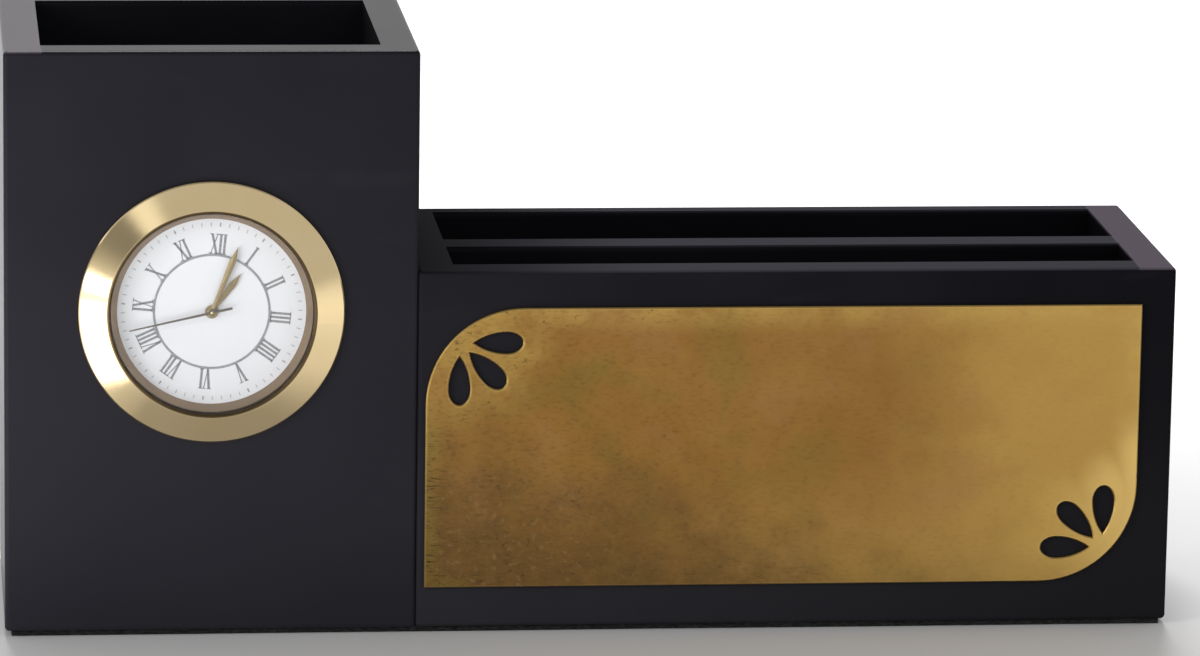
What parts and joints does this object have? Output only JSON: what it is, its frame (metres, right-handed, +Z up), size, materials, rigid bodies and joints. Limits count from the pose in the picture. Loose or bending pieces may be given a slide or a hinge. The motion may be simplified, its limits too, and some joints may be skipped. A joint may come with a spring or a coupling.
{
  "type": "pen stand",
  "caption": "Desk pen stand: tall pen box with a round insert clock beside a low divided letter tray with a pierced brass name plate, in satin black board.",
  "frame": {"origin": "middle of the box around the whole stand, on the surface it stands on", "axes": "+X to the right as seen from the front, -Y to the front, +Z up"},
  "size_m": [0.203, 0.06, 0.1025],
  "materials": {
    "black_board": "satin black paint on board",
    "aged_brass": "brushed brass with a mottled patina",
    "felt": "black felt",
    "beech": "plain beech",
    "gold_metal": "polished pale gold",
    "bronzed_metal": "dark bronzed gold",
    "brass_wheel": "plain brass",
    "clear_glass": "polished mineral glass",
    "dial_white": "matt white printed sheet",
    "gold_hands": "polished gold",
    "black_plastic": "fine matt moulding",
    "black_rubber": "soft matt rubber",
    "white_plastic": "natural moulding",
    "steel": "bright steel",
    "copper_wire": "enamelled winding",
    "green_board": "solder mask"
  },
  "bodies": {
    "stand": {"tower_front": "black_board", "tower_back": "black_board", "tower_left_side": "black_board", "tower_right_side": "black_board", "tower_base": "black_board", "tray_front": "black_board", "tray_back": "black_board", "tray_left_end": "black_board", "tray_right_end": "black_board", "tray_base": "black_board", "tray_divider": "black_board", "brass_plate": "aged_brass", "felt_base": "felt", "box_dowels": "beech"},
    "clock": {"clock_bezel": "gold_metal", "clock_crystal": "clear_glass", "dial_ring": "bronzed_metal", "clock_dial": "dial_white", "clock_case": "black_plastic", "grip_ring": "black_rubber", "main_plate": "white_plastic", "train_bridge": "white_plastic", "bridge_screws": "steel", "stator": "steel", "coil": "copper_wire", "battery": "steel", "battery_contacts": "steel", "circuit_board": "green_board", "quartz_can": "steel"},
    "seconds": {"second_hand": "gold_hands", "seconds_wheel": "brass_wheel"},
    "minutes": {"minute_hand": "gold_hands", "cannon_pinion": "white_plastic"},
    "hours": {"hour_hand": "gold_hands", "hour_wheel": "white_plastic"},
    "rotor": {"rotor": "steel"},
    "intermediate": {"intermediate_wheel": "white_plastic"},
    "third": {"third_wheel": "white_plastic"},
    "center": {"center_wheel": "white_plastic"},
    "minute_train": {"minute_wheel": "white_plastic"},
    "knob": {"setting_knob": "black_plastic"},
    "cover": {"battery_cover": "black_plastic"}
  },
  "joints": [
    {"name": "clock_pull", "type": "slide", "parent": "stand", "child": "clock", "axis": [0, -1, 0], "range_m": [0, 0.025]},
    {"name": "second_hand_turn", "type": "hinge", "parent": "clock", "child": "seconds", "pos_m": [-0.066, -0.027, 0.0573], "axis": [0, 1, 0], "continuous": true},
    {"name": "minute_hand_turn", "type": "hinge", "parent": "clock", "child": "minutes", "pos_m": [-0.066, -0.027, 0.0573], "axis": [0, 1, 0], "continuous": true},
    {"name": "hour_hand_turn", "type": "hinge", "parent": "clock", "child": "hours", "pos_m": [-0.066, -0.027, 0.0573], "axis": [0, 1, 0], "continuous": true},
    {"name": "rotor_turn", "type": "hinge", "parent": "clock", "child": "rotor", "pos_m": [-0.05877, -0.027, 0.0606], "axis": [0, 1, 0], "continuous": true},
    {"name": "intermediate_wheel_turn", "type": "hinge", "parent": "clock", "child": "intermediate", "pos_m": [-0.06163, -0.027, 0.05929], "axis": [0, 1, 0], "continuous": true},
    {"name": "third_wheel_turn", "type": "hinge", "parent": "clock", "child": "third", "pos_m": [-0.06991, -0.027, 0.06009], "axis": [0, 1, 0], "continuous": true},
    {"name": "center_wheel_turn", "type": "hinge", "parent": "clock", "child": "center", "pos_m": [-0.066, -0.027, 0.0573], "axis": [0, 1, 0], "continuous": true},
    {"name": "minute_wheel_turn", "type": "hinge", "parent": "clock", "child": "minute_train", "pos_m": [-0.06648, -0.027, 0.05232], "axis": [0, 1, 0], "continuous": true},
    {"name": "setting_knob_turn", "type": "hinge", "parent": "clock", "child": "knob", "pos_m": [-0.06696, -0.027, 0.04735], "axis": [0, 1, 0], "continuous": true},
    {"name": "battery_cover_turn", "type": "hinge", "parent": "clock", "child": "cover", "pos_m": [-0.07544, -0.027, 0.05319], "axis": [0, -1, 0], "range_deg": [0, 60]}
  ],
  "couplings": [
    {"joint": "minute_hand_turn", "follows": "second_hand_turn", "ratio": 0.016667},
    {"joint": "hour_hand_turn", "follows": "second_hand_turn", "ratio": 0.0013889},
    {"joint": "rotor_turn", "follows": "second_hand_turn", "ratio": 30},
    {"joint": "intermediate_wheel_turn", "follows": "second_hand_turn", "ratio": -5},
    {"joint": "third_wheel_turn", "follows": "second_hand_turn", "ratio": -0.13333},
    {"joint": "center_wheel_turn", "follows": "second_hand_turn", "ratio": 0.016667},
    {"joint": "minute_wheel_turn", "follows": "second_hand_turn", "ratio": -0.0055556},
    {"joint": "setting_knob_turn", "follows": "second_hand_turn", "ratio": 0.016667}
  ]
}
